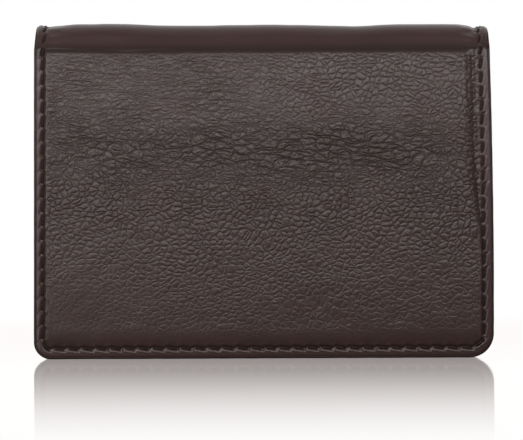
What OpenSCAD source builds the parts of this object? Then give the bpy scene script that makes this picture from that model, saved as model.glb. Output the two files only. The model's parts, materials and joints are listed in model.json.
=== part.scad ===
// Business card case: one leather cover folded over a rounded spine, with stepped card slots
// inside the front and a gusseted card pocket inside the back.
// The closed case stands on its free edges with the fold on top.
// X runs along the width, -Y is the front and +Z is up. The origin is the middle of the base.

/* [Case] */
// Width of the closed case
case_w = 104; // [100:0.5:112]
// Height of the closed case, from the free edges to the top of the fold
case_h = 76; // [74:0.5:84]
// Thickness of the closed case over its padded panels
case_d = 15; // [14.6:0.1:17]
// Radius of the free corners
corner_r = 5; // [3:0.5:7]
// Height of the rounded fold above the two creases
fold_h = 6; // [5:0.1:6.5]

/* [Layers] */
// Thickness of the outer leather
leather_t = 1.1; // [0.9:0.1:1.3]
// How far the padding lifts the panels above the stitched rim
pad_t = 0.7; // [0.5:0.1:0.9]
// Thickness of the stiffening boards
board_t = 0.6; // [0.4:0.1:0.8]
// Thickness of the lining
lining_t = 0.4; // [0.3:0.1:0.5]
// Thickness of the sealing paint on the cut edges
paint_t = 0.3; // [0.2:0.05:0.4]

/* [Stitching] */
// Distance between stitches
stitch_pitch = 3.18; // [2.6:0.02:4]
// Distance from the edge to the seam at the sides
seam_side = 2.3; // [2:0.1:2.6]
// Distance from the edge to the seam at the free edge
seam_base = 2.4; // [2.2:0.1:3]
// Radius of the thread
thread_r = 0.24; // [0.15:0.01:0.3]

/* [Card slots] */
// Thickness of each slot panel
slot_t = 0.5; // [0.4:0.05:0.55]
// Mouth height of the lower card slot
lower_mouth = 48; // [46:0.5:50]
// Mouth height of the upper card slot
upper_mouth = 57; // [55:0.5:59]
// Mouth height of the slip pocket behind the slots
slip_mouth = 65.5; // [64:0.5:66]

/* [Card pocket] */
// Mouth height of the card pocket
pocket_mouth = 58; // [56:0.5:60]
// Thickness of the pocket's leather front
pocket_t = 0.8; // [0.7:0.05:0.9]
// Radius of the thumb notch
notch_r = 11; // [9:0.5:13]
// Depth of the thumb notch
notch_depth = 8; // [6:0.5:9]
// How far the gusset folds inward
gusset_fold = 3.6; // [3:0.1:3.8]

/* [Hidden] */
$fn = 48;

leather_colour = [0.27, 0.22, 0.21];
inner_colour = [0.31, 0.25, 0.23];
paint_colour = [0.15, 0.09, 0.08];
thread_colour = [0.19, 0.14, 0.13];
lining_colour = [0.36, 0.30, 0.27];
board_colour = [0.62, 0.55, 0.45];
padding_colour = [0.80, 0.78, 0.74];

eps = 0.01;
half_w = case_w / 2;
half_d = case_d / 2;
crease_z = case_h - fold_h;
rim_w = 3.4;              // width of the flat stitched rim, from the edge to the padded panel
lap = 1.2;                // how far the rim reaches under the raised leather
crease_w = 1.3;           // flat strip on each side of a crease
gap = 0.06;               // half the gap left at each fold line
bend = 30;                // turn at each crease; each shoulder of the spine turns twice this
slot_gap = 0.2;           // room between slot panels
slot_inset = 1;           // distance from the edge to the slot panels
pocket_inset = 1.6;       // distance from the edge to the pocket and its gusset
pocket_clear = 0.8;       // room between the closed cover's slots and the pocket
pocket_lining_t = 0.3;
gusset_t = 0.6;           // thickness of the gusset, measured along Y
cloth_t = 0.1;
small_thread_r = 0.14;

// Depths below the outer face of a padded panel.
rim_in = pad_t + leather_t;
board_in = rim_in + board_t;
lining_in = board_in + lining_t;
spine_lining_in = rim_in + lining_t;

// Y of each slot panel's outer face in the closed cover, and of the pocket's front.
slip_y = -half_d + lining_in + slot_gap;
upper_y = slip_y + slot_t + slot_gap;
lower_y = upper_y + slot_t + slot_gap;
pocket_y = lower_y + slot_t + pocket_clear;
pocket_back_y = pocket_y + pocket_t + pocket_lining_t;

// ---- Outlines, seen from the front as [x, z] ----

function arc(cx, cz, r, from, to, steps = 8) =
    [for (i = [0:steps]) let (a = from + (to - from) * i / steps) [cx + r * cos(a), cz + r * sin(a)]];

// A panel with two rounded lower corners, drawn in from the case's edges by inset.
function panel_points(inset, top) =
    let (r = max(corner_r - inset, 0.6), x = half_w - inset - r, z = inset + r)
    concat([[half_w - inset, top], [-half_w + inset, top]],
           arc(-x, z, r, 180, 270), arc(x, z, r, 270, 360));

module panel_shape(inset, top) {
    polygon(panel_points(inset, top));
}

// Extrudes an [x, z] outline from y0 to y1.
module slab(y0, y1) {
    translate([0, y1, 0]) rotate([90, 0, 0]) linear_extrude(y1 - y0) children();
}

// Extrudes a [y, z] outline from x0 to x1.
module bar(x0, x1) {
    translate([x0, 0, 0]) rotate([90, 0, 90]) linear_extrude(x1 - x0) children();
}

module both_ends() {
    children();
    mirror([1, 0, 0]) children();
}

// ---- The spine's section, as [y, z] points on the rear half ----

// The crease's corner at a depth below the outer face.
function crease_point(depth) =
    [half_d - depth, crease_z - (depth - pad_t) * tan(bend / 2)];

// The shoulder's corner at a depth below the outer face.
function shoulder_point(depth) =
    let (run = (fold_h - depth + (depth - pad_t) * sin(bend)) / cos(bend))
    [half_d - pad_t - (depth - pad_t) * cos(bend) - run * sin(bend), case_h - depth];

slope = [-sin(bend), cos(bend)];

// The sloping side of the spine between two depths, with its ends trimmed by from and to.
module side_section(d0, d1, from = gap, to = gap) {
    polygon([crease_point(d0) + from * slope, shoulder_point(d0) - to * slope,
             shoulder_point(d1) - to * slope, crease_point(d1) + from * slope]);
}

// The top of the spine between two depths.
module top_section(d0, d1) {
    a = shoulder_point(d0);
    b = shoulder_point(d1);
    polygon([[a[0] - gap, a[1]], [gap - a[0], a[1]], [gap - b[0], b[1]], [b[0] - gap, b[1]]]);
}

// Everything above the mitre plane through the rear crease.
module above_crease() {
    reach = 12;
    p = crease_point(pad_t);
    rise = reach * tan(bend / 2);
    bar(-half_w - 1, half_w + 1)
        polygon([[p[0] - reach, p[1] - rise - gap], [p[0] + reach, p[1] + rise - gap],
                 [p[0] + reach, case_h + reach], [p[0] - reach, case_h + reach]]);
}

// ---- One half of the cover, drawn as the rear half; the front half is its mirror ----

module half_leather() {
    difference() {
        union() {
            difference() {
                slab(half_d - rim_in, half_d - pad_t) panel_shape(paint_t, crease_z + 2);
                slab(half_d - rim_in - 1, half_d) panel_shape(rim_w + lap, crease_z - crease_w - lap);
            }
            slab(half_d - leather_t, half_d) panel_shape(rim_w, crease_z - crease_w);
        }
        above_crease();
    }
}

module half_padding() {
    slab(half_d - rim_in + eps, half_d - leather_t - eps)
        panel_shape(rim_w + lap + eps, crease_z - crease_w - lap - eps);
}

module half_board() {
    slab(half_d - board_in, half_d - rim_in) panel_shape(paint_t, crease_z - crease_w);
}

module half_lining() {
    difference() {
        slab(half_d - lining_in, half_d - board_in) panel_shape(paint_t, crease_z + 2);
        above_crease();
    }
}

module half_edge_paint() {
    difference() {
        slab(half_d - lining_in, half_d - pad_t) panel_shape(0, crease_z + 2);
        slab(half_d - lining_in - 1, half_d) panel_shape(paint_t, crease_z + 3);
        above_crease();
    }
}

// The seam runs down one side, round the corners and up the other side.
seam_r = 1.6;
seam_x = half_w - seam_side;
seam_side_len = crease_z - 0.6 - seam_base - seam_r;
seam_base_len = 2 * (seam_x - seam_r);
seam_arc_len = seam_r * PI / 2;
seam_len = 2 * seam_side_len + 2 * seam_arc_len + seam_base_len;
seam_count = round(seam_len / stitch_pitch);

// Place and heading, as [x, z, angle], at a distance along half the seam, from its middle.
function seam_at(s) =
    let (base = seam_base_len / 2, turn = (s - base) / seam_arc_len * 90)
    s < base ? [s, seam_base, 0]
    : s < base + seam_arc_len
        ? [seam_x - seam_r + seam_r * sin(turn), seam_base + seam_r - seam_r * cos(turn), turn]
    : [seam_x, seam_base + seam_r + s - base - seam_arc_len, 90];

module thread_piece(length, r) {
    cylinder(h = length, r = r, center = true, $fn = 16);
}

stitch_slant = 6;

module half_stitching() {
    for (i = [0:seam_count - 1]) {
        s = (i + 0.5) * seam_len / seam_count - seam_len / 2;
        p = seam_at(abs(s));
        side = s < 0 ? -1 : 1;
        translate([side * p[0], half_d - pad_t + thread_r + eps, p[1]])
            rotate([0, 90 - side * p[2] + stitch_slant, 0])
                thread_piece(stitch_pitch * 0.72, thread_r);
    }
}

// ---- Spine strips ----

module side_leather() {
    difference() {
        bar(paint_t - half_w, half_w - paint_t) side_section(pad_t, rim_in);
        bar(rim_w + lap - half_w, half_w - rim_w - lap)
            side_section(pad_t - eps, rim_in + eps, crease_w + lap, -1);
    }
    bar(rim_w - half_w, half_w - rim_w) side_section(0, leather_t, crease_w);
}

module side_padding() {
    bar(rim_w + lap + eps - half_w, half_w - rim_w - lap - eps)
        side_section(leather_t + eps, rim_in - eps, crease_w + lap + eps, gap + eps);
}

module side_lining() {
    bar(paint_t - half_w, half_w - paint_t) side_section(rim_in, spine_lining_in);
}

module side_edge_paint() {
    both_ends() bar(half_w - paint_t, half_w) side_section(pad_t, spine_lining_in);
}

module top_leather() {
    difference() {
        bar(paint_t - half_w, half_w - paint_t) top_section(pad_t, rim_in);
        bar(rim_w + lap - half_w, half_w - rim_w - lap)
            translate([-half_d, case_h - rim_in - 1]) square([case_d, 3]);
    }
    bar(rim_w - half_w, half_w - rim_w) top_section(0, leather_t);
}

module top_padding() {
    bar(rim_w + lap + eps - half_w, half_w - rim_w - lap - eps)
        top_section(leather_t + eps, rim_in - eps);
}

module top_lining() {
    bar(paint_t - half_w, half_w - paint_t) top_section(rim_in, spine_lining_in);
}

module top_edge_paint() {
    both_ends() bar(half_w - paint_t, half_w) top_section(pad_t, spine_lining_in);
}

spine_stitch_len = 2;
side_stitch_places = [1.6, 4.6]; // distances up the sloping side from the crease
top_stitch_y = 1.5;

// Two stitches at each end of a sloping side, lying on its rim.
module side_stitching() {
    start = crease_point(pad_t - thread_r - eps);
    both_ends() for (s = side_stitch_places)
        translate([seam_x, start[0] + s * slope[0], start[1] + s * slope[1]])
            rotate([bend, 0, 0]) thread_piece(spine_stitch_len, thread_r);
}

// Two stitches at each end of the spine's top.
module top_stitching() {
    both_ends() for (y = [-top_stitch_y, top_stitch_y])
        translate([seam_x, y, case_h - pad_t + thread_r + eps])
            rotate([90, 0, 0]) thread_piece(spine_stitch_len, thread_r);
}

// ---- Card slots inside the front ----

module slot_panel(y, mouth) {
    slab(y, y + slot_t) panel_shape(slot_inset, mouth);
}

cloth_inset = 7;
cloth_base = 4.5;
cloth_drop = 5;           // how far a cloth hangs below the mouth in front of it

module slot_cloth(y, mouth) {
    slab(y - slot_gap / 2 - cloth_t / 2, y - slot_gap / 2 + cloth_t / 2)
        translate([cloth_inset - half_w, cloth_base])
            square([case_w - 2 * cloth_inset, mouth - cloth_drop - cloth_base]);
}

// A row of stitches under each of the two slot mouths that are stitched through.
module slot_stitch_row(y, z) {
    reach = half_w - cloth_inset - 2;
    count = floor(2 * reach / stitch_pitch);
    for (i = [0:count])
        translate([(i - count / 2) * stitch_pitch, y + slot_t + small_thread_r + eps, z])
            rotate([0, 90, 0]) thread_piece(stitch_pitch * 0.7, small_thread_r);
}

mouth_hem = 2.2;          // distance from a mouth to the row of stitches under it

module slot_stitching() {
    slot_stitch_row(lower_y, lower_mouth - mouth_hem);
    slot_stitch_row(upper_y, upper_mouth - mouth_hem);
    slot_stitch_row(slip_y, slip_mouth - mouth_hem);
}

// ---- Card pocket inside the back ----

notch_z = pocket_mouth - notch_depth + notch_r;

module pocket_shape(inset) {
    difference() {
        panel_shape(pocket_inset + inset, pocket_mouth - inset);
        translate([0, notch_z]) circle(r = notch_r + inset, $fn = 72);
    }
}

module pocket_ring(inset, width) {
    difference() {
        pocket_shape(inset);
        pocket_shape(inset + width);
    }
}

pocket_paint_t = 0.25;

module pocket_panel() {
    slab(pocket_y, pocket_y + pocket_t) pocket_shape(pocket_paint_t);
}

module pocket_lining() {
    slab(pocket_y + pocket_t, pocket_back_y) pocket_shape(pocket_paint_t);
}

module pocket_edge_paint() {
    slab(pocket_y, pocket_back_y) pocket_ring(0, pocket_paint_t);
}

pocket_seam_side = pocket_inset + 1.9;
pocket_seam_top = pocket_mouth - 2.4;
pocket_seam_base = pocket_inset + 2.6;

// Rows of stitches down both sides and along the base of the pocket's front.
module pocket_stitching() {
    y = pocket_y - small_thread_r - eps;
    rise = pocket_seam_top - corner_r - pocket_seam_base;
    side_count = floor(rise / stitch_pitch);
    both_ends() for (i = [0:side_count])
        translate([half_w - pocket_seam_side, y, pocket_seam_top - i * stitch_pitch])
            thread_piece(stitch_pitch * 0.7, small_thread_r);
    base_count = floor((case_w - 2 * pocket_seam_side - 2 * corner_r) / stitch_pitch);
    for (i = [0:base_count])
        translate([(i - base_count / 2) * stitch_pitch, y, pocket_seam_base])
            rotate([0, 90, 0]) thread_piece(stitch_pitch * 0.7, small_thread_r);
}

gusset_y0 = pocket_back_y + 0.1;
gusset_y1 = half_d - lining_in - 0.05;
gusset_mid = (gusset_y0 + gusset_y1) / 2;
gusset_top = pocket_mouth - 2;
gusset_r = 4;             // outer radius of the gusset's two corners

// The gusset's folded strip as [distance inward, y].
function gusset_points(sign = 1) =
    let (tip = gusset_fold * (1 - gusset_t / (gusset_mid - gusset_y0)))
    [for (p = [[0, gusset_y0], [gusset_fold, gusset_mid], [0, gusset_y1],
               [0, gusset_y1 - gusset_t], [tip, gusset_mid], [0, gusset_y0 + gusset_t]])
        [p[0], sign * p[1]]];

module gusset_corner() {
    translate([half_w - pocket_inset - gusset_r, 0, pocket_inset + gusset_r])
        rotate([90, 0, 0]) rotate([0, 0, 270]) rotate_extrude(angle = 90)
            translate([gusset_r, 0]) mirror([1, 0]) polygon(gusset_points(-1));
}

module pocket_gusset() {
    side_z = pocket_inset + gusset_r;
    base_x = half_w - pocket_inset - gusset_r;
    both_ends() {
        translate([half_w - pocket_inset, 0, side_z]) linear_extrude(gusset_top - side_z)
            mirror([1, 0]) polygon(gusset_points());
        gusset_corner();
    }
    bar(-base_x, base_x)
        polygon([for (p = gusset_points()) [p[1], pocket_inset + p[0]]]);
}

// ---- Nodes ----

module front() {
    mirror([0, 1, 0]) children();
}

color(leather_colour) front() half_leather();  // front_leather
color(padding_colour) front() half_padding();  // front_padding
color(board_colour) front() half_board();  // front_board
color(lining_colour) front() half_lining();  // front_lining
color(paint_colour) front() half_edge_paint();  // front_edge_paint
color(thread_colour) front() half_stitching();  // front_stitching

color(inner_colour) slot_panel(slip_y, slip_mouth);  // slip_pocket_panel
color(inner_colour) slot_panel(upper_y, upper_mouth);  // upper_slot_panel
color(inner_colour) slot_panel(lower_y, lower_mouth);  // lower_slot_panel
color(lining_colour) slot_cloth(upper_y, upper_mouth);  // upper_slot_cloth
color(lining_colour) slot_cloth(lower_y, lower_mouth);  // lower_slot_cloth
color(thread_colour) slot_stitching();

color(leather_colour) front() side_leather();  // spine_leather_front
color(leather_colour) top_leather();  // spine_leather_top
color(leather_colour) side_leather();  // spine_leather_rear
color(padding_colour) front() side_padding();  // spine_padding_front
color(padding_colour) top_padding();  // spine_padding_top
color(padding_colour) side_padding();  // spine_padding_rear
color(lining_colour) front() side_lining();  // spine_lining_front
color(lining_colour) top_lining();  // spine_lining_top
color(lining_colour) side_lining();  // spine_lining_rear
color(paint_colour) front() side_edge_paint();  // spine_edge_paint_front
color(paint_colour) top_edge_paint();  // spine_edge_paint_top
color(paint_colour) side_edge_paint();  // spine_edge_paint_rear
color(thread_colour) front() side_stitching();  // spine_stitching_front
color(thread_colour) top_stitching();  // spine_stitching_top
color(thread_colour) side_stitching();  // spine_stitching_rear

color(leather_colour) half_leather();  // back_leather
color(padding_colour) half_padding();  // back_padding
color(board_colour) half_board();  // back_board
color(lining_colour) half_lining();  // back_lining
color(paint_colour) half_edge_paint();  // back_edge_paint
color(thread_colour) half_stitching();  // back_stitching

color(inner_colour) pocket_gusset();
color(inner_colour) pocket_panel();
color(lining_colour) pocket_lining();
color(paint_colour) pocket_edge_paint();
color(thread_colour) pocket_stitching();
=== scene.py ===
"""The looks of a folding business card case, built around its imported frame.

All shapes are worked out in millimetres and turned into metres when a mesh is made. The outer
leather, its padding, boards, lining, edge paint and thread are drawn on one flat sheet, whose x
runs across the case and whose s runs from the front's free edge over the fold to the back's.
wrap() lays that sheet round the closed case.
"""
import json
import math

import bpy
import numpy as np
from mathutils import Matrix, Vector


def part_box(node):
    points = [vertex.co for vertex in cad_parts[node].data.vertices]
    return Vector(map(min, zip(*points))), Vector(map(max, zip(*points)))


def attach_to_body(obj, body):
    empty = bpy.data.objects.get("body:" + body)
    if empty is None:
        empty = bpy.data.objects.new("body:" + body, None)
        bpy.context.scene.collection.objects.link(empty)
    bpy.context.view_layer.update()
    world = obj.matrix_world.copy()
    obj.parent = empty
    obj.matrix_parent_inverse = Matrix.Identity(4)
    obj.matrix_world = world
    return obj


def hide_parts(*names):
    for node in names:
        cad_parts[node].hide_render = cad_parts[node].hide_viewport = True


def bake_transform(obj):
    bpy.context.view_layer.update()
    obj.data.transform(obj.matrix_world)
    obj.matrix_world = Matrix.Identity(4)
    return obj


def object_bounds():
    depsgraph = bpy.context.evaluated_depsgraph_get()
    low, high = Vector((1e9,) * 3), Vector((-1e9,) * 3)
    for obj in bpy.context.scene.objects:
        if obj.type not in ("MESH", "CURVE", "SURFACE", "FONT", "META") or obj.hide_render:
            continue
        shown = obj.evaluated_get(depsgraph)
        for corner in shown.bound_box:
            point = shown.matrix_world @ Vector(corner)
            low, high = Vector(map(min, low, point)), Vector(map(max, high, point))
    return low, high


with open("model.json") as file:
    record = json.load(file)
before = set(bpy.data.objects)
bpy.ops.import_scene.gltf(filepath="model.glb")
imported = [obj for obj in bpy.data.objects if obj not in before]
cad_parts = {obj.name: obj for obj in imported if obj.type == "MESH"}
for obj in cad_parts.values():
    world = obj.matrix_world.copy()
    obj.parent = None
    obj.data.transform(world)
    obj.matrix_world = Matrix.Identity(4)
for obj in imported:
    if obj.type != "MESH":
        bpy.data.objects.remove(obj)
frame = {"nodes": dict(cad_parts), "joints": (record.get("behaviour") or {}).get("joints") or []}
cad_box = [list(corner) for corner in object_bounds()]
MM = 0.001
UV_MM = 100.0  # millimetres of sheet to one unit of the "sheet" UV map


def joint_height(name):
    """A joint's z in millimetres."""
    return next(j for j in frame["joints"] if j["name"] == name)["pos_m"][2] / MM


def box_mm(node):
    """The corners of a CAD node's box in millimetres."""
    return [np.array(corner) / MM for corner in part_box(node)]


# ---- Sizes that the frame gives ----

HALF_W, HALF_D, CASE_H = (size / MM for size in cad_box[1])
RIM_Y = box_mm("back_edge_paint")[1][1]  # the rim's outer face
LEATHER_IN_Y, BOARD_IN_Y, LINING_IN_Y = (box_mm(f"back_{layer}")[0][1] for layer in ("leather", "board", "lining"))
PAD = HALF_D - RIM_Y  # how far the padded panels stand above the rim
LEATHER = RIM_Y - LEATHER_IN_Y
BOARD = LEATHER_IN_Y - BOARD_IN_Y
LINING = BOARD_IN_Y - LINING_IN_Y
PAINT = HALF_W - box_mm("back_leather")[1][0]
CORNER_LEFT, CORNER_RIGHT = 3.9, 5.5  # radius of the free corners


# ---- The sheet's path round the case ----

SIDE_TILT = math.radians(30)  # how far each side of the fold leans in
CREASE_Z = joint_height("rear_crease") - 0.4  # the leather creases a little below the hinge's axis
SIDE_RISE = CASE_H - PAD - CREASE_Z
SIDE_LEN = SIDE_RISE / math.cos(SIDE_TILT)
TOP_HALF = RIM_Y - SIDE_LEN * math.sin(SIDE_TILT)
CREASE_CUT = 0.9  # length of rounding on each side of a crease
SHOULDER_CUT = 3.3  # the same at a shoulder


def sheet_path(step=0.02):
    """Tables of s, y, z and heading along the rim's surface, from the front's free edge."""
    crease = (CREASE_CUT / math.tan(SIDE_TILT / 2), SIDE_TILT)
    shoulder = (SHOULDER_CUT / math.tan(SIDE_TILT), 2 * SIDE_TILT)
    flats = [CREASE_Z - CREASE_CUT, SIDE_LEN - CREASE_CUT - SHOULDER_CUT, 2 * (TOP_HALF - SHOULDER_CUT)]
    parts = [(flats[0], 0), (crease[0] * crease[1], crease[1]), (flats[1], 0),
             (shoulder[0] * shoulder[1], shoulder[1]), (flats[2], 0)]
    parts += parts[-2::-1]
    edges, turns = np.cumsum([(0, 0)] + parts, axis=0).T
    s = np.linspace(0, edges[-1], int(edges[-1] / step))
    heading = np.interp(s, edges, turns)
    ds = np.diff(s)
    middle = (heading[1:] + heading[:-1]) / 2
    y, z = (np.append(0, np.cumsum(part(middle) * ds)) for part in (np.sin, np.cos))
    return s, y - RIM_Y, z, heading, edges


PATH_S, PATH_Y, PATH_Z, PATH_TURN, PATH_EDGES = sheet_path()
SHEET_LEN = PATH_S[-1]
CREASE_S = (PATH_EDGES[1] + PATH_EDGES[2]) / 2
SPLIT_SIDE = (PATH_EDGES[2] + PATH_EDGES[3]) / 2
SHOULDER_S = (PATH_EDGES[3] + PATH_EDGES[4]) / 2
SPLIT_TOP = SHEET_LEN / 2
SPLITS = [0, SPLIT_SIDE, SPLIT_TOP, SHEET_LEN - SPLIT_SIDE, SHEET_LEN]
CREASE_REACH = 1.8  # how far from a crease the leather bends
SHOULDER_REACH = 3.2


def lean(x, z):
    """How far a point moves sideways, because the case is a little narrower at the fold."""
    right = 0.98 * (np.maximum(z - 18, 0) / 52) ** 1.7 - 0.0044 * z
    left = 0.0044 * z + 0.2 * smooth((z - 69) / 5)
    return -x / HALF_W * np.where(x > 0, right, left)


def corner_radius(x):
    """Radius of the free corner on the side of x."""
    return np.where(x > 0, CORNER_RIGHT, CORNER_LEFT)


def wrap(x, s, n):
    """Lays sheet points (x, s), n above the rim's surface, round the case."""
    x, s, n = np.broadcast_arrays(np.asarray(x, float), s, n)
    y = np.interp(s, PATH_S, PATH_Y)
    z = np.interp(s, PATH_S, PATH_Z)
    turn = np.interp(s, PATH_S, PATH_TURN)
    y, z = y - n * np.cos(turn), z + n * np.sin(turn)
    settled = 0.36 * smooth((x - 4) / 24) * smooth((z - 70) / 5)
    return np.stack([x + lean(x, z), y, z * 1.002 - settled], -1)


def over_fold(s):
    """1 over the fold and 0 over the panels, smooth across the creases."""
    return smooth((s - CREASE_S) / 1.6 + 0.5) * smooth((SHEET_LEN - CREASE_S - s) / 1.6 + 0.5)


# ---- Repeatable noise ----

def smooth(t):
    t = np.clip(t, 0, 1)
    return t * t * (3 - 2 * t)


def lattice(ix, iy, seed):
    """A repeatable random number from 0 to 1 for each lattice point."""
    with np.errstate(over="ignore"):
        n = ix.astype(np.int64).astype(np.uint32) * np.uint32(0x9E3779B1)
        n ^= iy.astype(np.int64).astype(np.uint32) * np.uint32(0x85EBCA77)
        n ^= np.uint32(seed * 7919 + 13)
        n ^= n >> np.uint32(15)
        n *= np.uint32(0x2C1B3C6D)
        n ^= n >> np.uint32(12)
        n *= np.uint32(0x297A2D39)
        n ^= n >> np.uint32(15)
    return n.astype(float) / 2.0 ** 32


def noise(x, y, seed):
    """Smooth noise from -1 to 1 with one bump to a unit."""
    ix, iy = np.floor(x), np.floor(y)
    u, v = smooth(x - ix), smooth(y - iy)
    low = lattice(ix, iy, seed) * (1 - u) + lattice(ix + 1, iy, seed) * u
    high = lattice(ix, iy + 1, seed) * (1 - u) + lattice(ix + 1, iy + 1, seed) * u
    return 2 * (low * (1 - v) + high * v) - 1


def turned_bits(value, by):
    return (value << np.uint32(by)) | (value >> np.uint32(32 - by))


def cell_hash(*keys):
    """The shaders' own repeatable random number from 0 to 1 for a few whole numbers."""
    bits = [np.asarray(key, np.float32).view(np.uint32) for key in keys]
    with np.errstate(over="ignore"):
        start = np.uint32((0xDEADBEEF + 4 * len(bits) + 13) & 0xFFFFFFFF)
        words = [start + bit for bit in bits] + [start] * (3 - len(bits))
        a, b, c = np.broadcast_arrays(*words)
        for first, second, third, by in ((2, 1, 0, 14), (0, 2, 1, 11), (1, 0, 2, 25), (2, 1, 0, 16),
                                         (0, 2, 1, 4), (1, 0, 2, 14), (2, 1, 0, 24)):
            mixed = [a, b, c]
            mixed[first] = (mixed[first] ^ mixed[second]) - turned_bits(mixed[second], by)
            a, b, c = mixed
    return c / 4294967295.0


def cell_edge(x, y):
    """Distance to the nearest cell edge, as the shaders' flat Voronoi texture has it at scale 1."""
    ix, iy = np.floor(x).astype(int), np.floor(y).astype(int)
    low_x, low_y = ix.min() - 1.0, iy.min() - 1.0
    gx, gy = np.meshgrid(np.arange(low_x, ix.max() + 2), np.arange(low_y, iy.max() + 2))
    centre_x, centre_y = gx + cell_hash(gx, gy), gy + cell_hash(gx, gy, np.ones_like(gx))
    ix, iy = ix - int(low_x), iy - int(low_y)
    away = [(centre_x[iy + j, ix + i] - x, centre_y[iy + j, ix + i] - y)
            for j in (-1, 0, 1) for i in (-1, 0, 1)]
    near_x, near_y = away[0]
    for dx, dy in away[1:]:
        closer = dx * dx + dy * dy < near_x * near_x + near_y * near_y
        near_x, near_y = np.where(closer, dx, near_x), np.where(closer, dy, near_y)
    edge = np.full(x.shape, 9.0)
    for dx, dy in away:
        ex, ey = dx - near_x, dy - near_y
        length = np.hypot(ex, ey)
        between = ((near_x + dx) * ex + (near_y + dy) * ey) / 2 / np.maximum(length, 1e-9)
        edge = np.where(length > 0.01, np.minimum(edge, between), edge)
    return edge


# ---- The outer leather's relief ----

STITCH_PITCH = 3.18
SEAM_BASE = 2.4
SEAM_SIDE = {-1: 2.05, 1: 2.3}  # distance from the edge, on the left and the right
SEAM_R = {-1: 1.7, 1: 3.3}


class Seam:
    """Half of the seam: from its middle at the front's free edge, up one side and down the back."""

    def __init__(self, side):
        self.side, self.radius = side, SEAM_R[side]
        self.reach = HALF_W - SEAM_SIDE[side] - self.radius  # where the base turns into the corner
        self.bend = self.radius * math.pi / 2
        self.length = 2 * (self.reach + self.bend) + SHEET_LEN - 2 * (SEAM_BASE + self.radius)
        self.count = round(self.length / STITCH_PITCH)
        self.step = self.length / self.count

    def at(self, q):
        """(x, s, heading) at a distance along the seam."""
        mirrored = q > self.length / 2
        q = self.length - q if mirrored else q
        if q < self.reach:
            x, s, turn = q, SEAM_BASE, 0.0
        elif q < self.reach + self.bend:
            turn = (q - self.reach) / self.radius
            x = self.reach + self.radius * math.sin(turn)
            s = SEAM_BASE + self.radius - self.radius * math.cos(turn)
        else:
            x, turn = self.reach + self.radius, math.pi / 2
            s = SEAM_BASE + self.radius + q - self.reach - self.bend
        if mirrored:
            s, turn = SHEET_LEN - s, math.pi - turn
        return (x, s, turn) if self.side > 0 else (-x, s, math.pi - turn)

    def frame(self, x, s):
        """Each sheet point's distance outside the seam, and its place along the seam."""
        folded = np.minimum(s, SHEET_LEN - s)
        dx, ds = np.abs(x) - self.reach, (SEAM_BASE + self.radius) - folded
        corner = (dx > 0) & (ds > 0)
        outside = np.where(corner, np.hypot(dx, ds), np.maximum(dx, ds)) - self.radius
        turn = np.arctan2(np.maximum(dx, 1e-9), np.maximum(ds, 1e-9))
        q = np.where(corner, self.reach + self.radius * turn,
                     np.where(dx > ds, self.reach + self.bend - ds, np.abs(x)))
        return outside, np.where(s > SHEET_LEN / 2, self.length - q, q)


SEAMS = {side: Seam(side) for side in (-1, 1)}


def seam_frame(x, s):
    """Each sheet point's distance outside the seam, and its place in its stitch, from -0.5 to 0.5."""
    left, right = (SEAMS[side].frame(x, s) for side in (-1, 1))
    outside = np.where(x > 0, right[0], left[0])
    place = np.where(x > 0, right[1] / SEAMS[1].step, left[1] / SEAMS[-1].step)
    return outside, place - np.floor(place) - 0.5


def ramp(distance, start, width):
    return smooth((distance - start) / width)


def ridge(place, centre, width):
    """1 at the centre, and a bell-shaped fall on both sides."""
    return np.exp(-((place - centre) / width) ** 2)


def rounded(distance, start, width, power=2.2):
    """Rises steeply at start and levels off after width, the sooner the higher the power."""
    return 1 - (1 - np.clip((distance - start) / width, 0, 1)) ** power


def rim_rise(x):
    """How far the stitched rim swells where it passes over the fold."""
    return np.where(x > 0, 0.1, 0.28)


def fold_crown(x):
    """How far the fold's top sags below its highest places."""
    return 0.38 * smooth((33 - np.abs(x + 1)) / 11) + 0.06 * np.cos((x + 15) / 5.1)


def padded(x, s):
    """Height of the leather over its padding, without seams or grain."""
    front = s < SHEET_LEN / 2
    folded = np.minimum(s, SHEET_LEN - s)
    high = smooth((folded - 22) / 26)
    left = rounded(x + HALF_W, 2.2, 0.9)
    right = rounded(HALF_W - x, 2.45 + 1.75 * high, 0.8 + 1.2 * high, 2.2 - 0.9 * high)
    plain = rounded(HALF_W - np.abs(x), 2.6, 2.6)
    panel_sides = np.where(front, left * right, plain)
    low_edge = 0.9 * rounded(folded, 2.5, 4.4) + 0.1 * rounded(folded, 2.5, 12)
    wave = 0.42 * ridge(x, -34, 9) - 0.6 * smooth((-28 - x) / 14)
    panel_height = low_edge * rounded(CREASE_S - folded, wave - 0.1, 3.1)
    fold = ramp(folded - CREASE_S, 0.8, 6.5)
    fold_sides = ramp(HALF_W + x, 2.6, 7.0) * ramp(HALF_W - x, 3.2, 4.2)
    return PAD * (panel_sides * panel_height + (0.25 + 0.75 * fold_sides) * fold)


def creased_share(x, height):
    """Where long creases take the place of the round pebbles."""
    band = ridge(height, 47, 10) * smooth((50 - np.abs(x)) / 14)
    upper_left = 0.75 * smooth((height - 36) / 10) * smooth((20 - x) / 30)
    return np.clip(np.maximum(band, upper_left) + 0.15 * noise(x / 10, height / 7, 92), 0, 1)


# each pattern of cells: millimetres across and along, and how far it is shifted, in cells
PEBBLES = (1.5, 1.2, 0.0)
LONG_PEBBLES = (3.0, 1.45, 8.0)
SMALL_PEBBLES = (0.85, 0.75, 53.0)
CREASE_FAMILIES = ((1.8, 101), (2.5, 111))  # spacing in millimetres, and seed
GRAIN_DEPTH = 0.15


def pebble_edge(px, ps, pattern):
    """Distance in millimetres from the edge of a point's pebble."""
    across, along, shift = pattern
    return cell_edge(px / across + shift, ps / along) * along


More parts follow.
